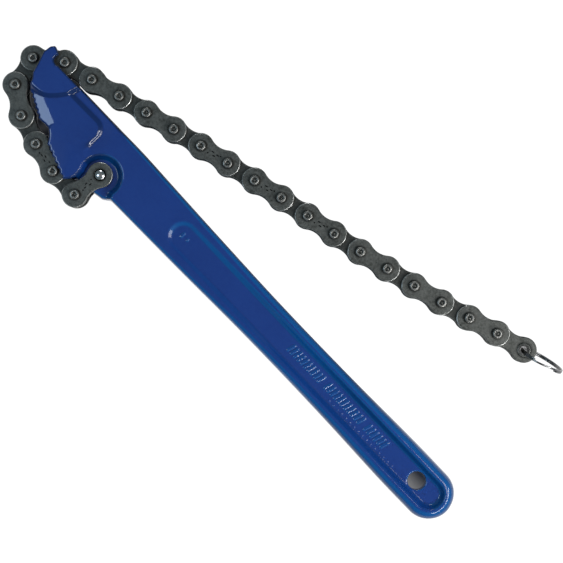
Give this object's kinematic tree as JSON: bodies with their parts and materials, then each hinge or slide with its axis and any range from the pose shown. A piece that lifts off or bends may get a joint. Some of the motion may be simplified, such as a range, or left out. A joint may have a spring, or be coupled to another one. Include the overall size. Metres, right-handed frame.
{
  "type": "chain pipe wrench",
  "caption": "Forged chain pipe wrench: a blue painted handle with a forked toothed head, a steel bush chain wrapped over the head, and a split ring on the chain's free end.",
  "frame": {"origin": "centre of the hang hole, on the mid-plane of the tool", "axes": "+X along the handle to the tip of the head, +Y the toothed side, +Z square to the flat faces, towards the viewer"},
  "size_m": [0.3122, 0.1227, 0.024],
  "materials": {
    "blue_paint": "glossy blue enamel over forged steel",
    "chain_steel": "satin black oxide",
    "pin_steel": "satin, peened ends",
    "bright_steel": "bright zinc plate"
  },
  "bodies": {
    "body": {"forged_body": "blue_paint", "anchor_pin": "bright_steel"},
    "link_01": {"outer_plates_01": "chain_steel", "link_pins_01": "pin_steel"},
    "link_02": {"inner_plates_02": "chain_steel", "bushes_02": "chain_steel"},
    "link_03": {"outer_plates_03": "chain_steel", "link_pins_03": "pin_steel"},
    "link_04": {"inner_plates_04": "chain_steel", "bushes_04": "chain_steel"},
    "link_05": {"outer_plates_05": "chain_steel", "link_pins_05": "pin_steel"},
    "link_06": {"inner_plates_06": "chain_steel", "bushes_06": "chain_steel"},
    "link_07": {"outer_plates_07": "chain_steel", "link_pins_07": "pin_steel"},
    "link_08": {"inner_plates_08": "chain_steel", "bushes_08": "chain_steel"},
    "link_09": {"outer_plates_09": "chain_steel", "link_pins_09": "pin_steel"},
    "link_10": {"inner_plates_10": "chain_steel", "bushes_10": "chain_steel"},
    "link_11": {"outer_plates_11": "chain_steel", "link_pins_11": "pin_steel"},
    "link_12": {"inner_plates_12": "chain_steel", "bushes_12": "chain_steel"},
    "link_13": {"outer_plates_13": "chain_steel", "link_pins_13": "pin_steel"},
    "link_14": {"inner_plates_14": "chain_steel", "bushes_14": "chain_steel"},
    "link_15": {"outer_plates_15": "chain_steel", "link_pins_15": "pin_steel"},
    "link_16": {"inner_plates_16": "chain_steel", "bushes_16": "chain_steel"},
    "link_17": {"outer_plates_17": "chain_steel", "link_pins_17": "pin_steel"},
    "link_18": {"inner_plates_18": "chain_steel", "bushes_18": "chain_steel"},
    "link_19": {"outer_plates_19": "chain_steel", "link_pins_19": "pin_steel"},
    "link_20": {"inner_plates_20": "chain_steel", "bushes_20": "chain_steel"},
    "link_21": {"outer_plates_21": "chain_steel", "link_pins_21": "pin_steel"},
    "link_22": {"inner_plates_22": "chain_steel", "bushes_22": "chain_steel"},
    "link_23": {"outer_plates_23": "chain_steel", "link_pins_23": "pin_steel"},
    "link_24": {"inner_plates_24": "chain_steel", "bushes_24": "chain_steel"},
    "ring": {"split_ring": "bright_steel"}
  },
  "joints": [
    {"name": "link_01_hinge", "type": "hinge", "parent": "body", "child": "link_01", "pos_m": [0.2194, 0.0087, 0], "axis": [0, 0, 1], "range_deg": [-0.6, 0.4]},
    {"name": "link_02_hinge", "type": "hinge", "parent": "link_01", "child": "link_02", "pos_m": [0.22106, 0.02449, 0], "axis": [0, 0, -1], "range_deg": [-0.4, 0.6]},
    {"name": "link_03_hinge", "type": "hinge", "parent": "link_02", "child": "link_03", "pos_m": [0.23693, 0.02421, 0], "axis": [0, 0, 1], "range_deg": [-1.1, 0.8]},
    {"name": "link_04_hinge", "type": "hinge", "parent": "link_03", "child": "link_04", "pos_m": [0.25246, 0.02091, 0], "axis": [0, 0, -1], "range_deg": [-3.3, 1.3]},
    {"name": "link_05_hinge", "type": "hinge", "parent": "link_04", "child": "link_05", "pos_m": [0.26772, 0.01654, 0], "axis": [0, 0, 1], "range_deg": [-1.6, 2.5]},
    {"name": "link_06_hinge", "type": "hinge", "parent": "link_05", "child": "link_06", "pos_m": [0.28103, 0.00789, 0], "axis": [0, 0, -1], "range_deg": [-2.8, 0.8]},
    {"name": "link_07_hinge", "type": "hinge", "parent": "link_06", "child": "link_07", "pos_m": [0.28434, -0.00764, 0], "axis": [0, 0, 1], "range_deg": [-0.6, 60]},
    {"name": "link_08_hinge", "type": "hinge", "parent": "link_07", "child": "link_08", "pos_m": [0.27182, -0.01741, 0], "axis": [0, 0, -1], "range_deg": [-60, 1.3]},
    {"name": "link_09_hinge", "type": "hinge", "parent": "link_08", "child": "link_09", "pos_m": [0.25642, -0.02125, 0], "axis": [0, 0, 1], "range_deg": [-12, 45]},
    {"name": "link_10_hinge", "type": "hinge", "parent": "link_09", "child": "link_10", "pos_m": [0.24109, -0.02536, 0], "axis": [0, 0, -1], "range_deg": [-45, 13]},
    {"name": "link_11_hinge", "type": "hinge", "parent": "link_10", "child": "link_11", "pos_m": [0.22575, -0.02947, 0], "axis": [0, 0, 1], "range_deg": [-14, 45]},
    {"name": "link_12_hinge", "type": "hinge", "parent": "link_11", "child": "link_12", "pos_m": [0.21042, -0.03358, 0], "axis": [0, 0, -1], "range_deg": [-45, 15]},
    {"name": "link_13_hinge", "type": "hinge", "parent": "link_12", "child": "link_13", "pos_m": [0.19509, -0.03769, 0], "axis": [0, 0, 1], "range_deg": [-16, 45]},
    {"name": "link_14_hinge", "type": "hinge", "parent": "link_13", "child": "link_14", "pos_m": [0.17962, -0.04126, 0], "axis": [0, 0, -1], "range_deg": [-45, 17]},
    {"name": "link_15_hinge", "type": "hinge", "parent": "link_14", "child": "link_15", "pos_m": [0.16421, -0.0451, 0], "axis": [0, 0, 1], "range_deg": [-18, 45]},
    {"name": "link_16_hinge", "type": "hinge", "parent": "link_15", "child": "link_16", "pos_m": [0.14874, -0.04867, 0], "axis": [0, 0, -1], "range_deg": [-45, 20]},
    {"name": "link_17_hinge", "type": "hinge", "parent": "link_16", "child": "link_17", "pos_m": [0.13322, -0.05197, 0], "axis": [0, 0, 1], "range_deg": [-22, 45]},
    {"name": "link_18_hinge", "type": "hinge", "parent": "link_17", "child": "link_18", "pos_m": [0.11769, -0.05527, 0], "axis": [0, 0, -1], "range_deg": [-45, 25]},
    {"name": "link_19_hinge", "type": "hinge", "parent": "link_18", "child": "link_19", "pos_m": [0.10216, -0.05857, 0], "axis": [0, 0, 1], "range_deg": [-28, 45]},
    {"name": "link_20_hinge", "type": "hinge", "parent": "link_19", "child": "link_20", "pos_m": [0.08676, -0.06241, 0], "axis": [0, 0, -1], "range_deg": [-45, 33]},
    {"name": "link_21_hinge", "type": "hinge", "parent": "link_20", "child": "link_21", "pos_m": [0.07135, -0.06625, 0], "axis": [0, 0, 1], "range_deg": [-40, 45]},
    {"name": "link_22_hinge", "type": "hinge", "parent": "link_21", "child": "link_22", "pos_m": [0.05602, -0.07036, 0], "axis": [0, 0, -1], "range_deg": [-45, 45]},
    {"name": "link_23_hinge", "type": "hinge", "parent": "link_22", "child": "link_23", "pos_m": [0.04084, -0.075, 0], "axis": [0, 0, 1], "range_deg": [-45, 45]},
    {"name": "link_24_hinge", "type": "hinge", "parent": "link_23", "child": "link_24", "pos_m": [0.02566, -0.07965, 0], "axis": [0, 0, -1], "range_deg": [-45, 45]},
    {"name": "ring_swivel", "type": "hinge", "parent": "link_24", "child": "ring", "pos_m": [0.01032, -0.08375, 0], "axis": [0, 0, 1], "range_deg": [-60, 60]}
  ]
}
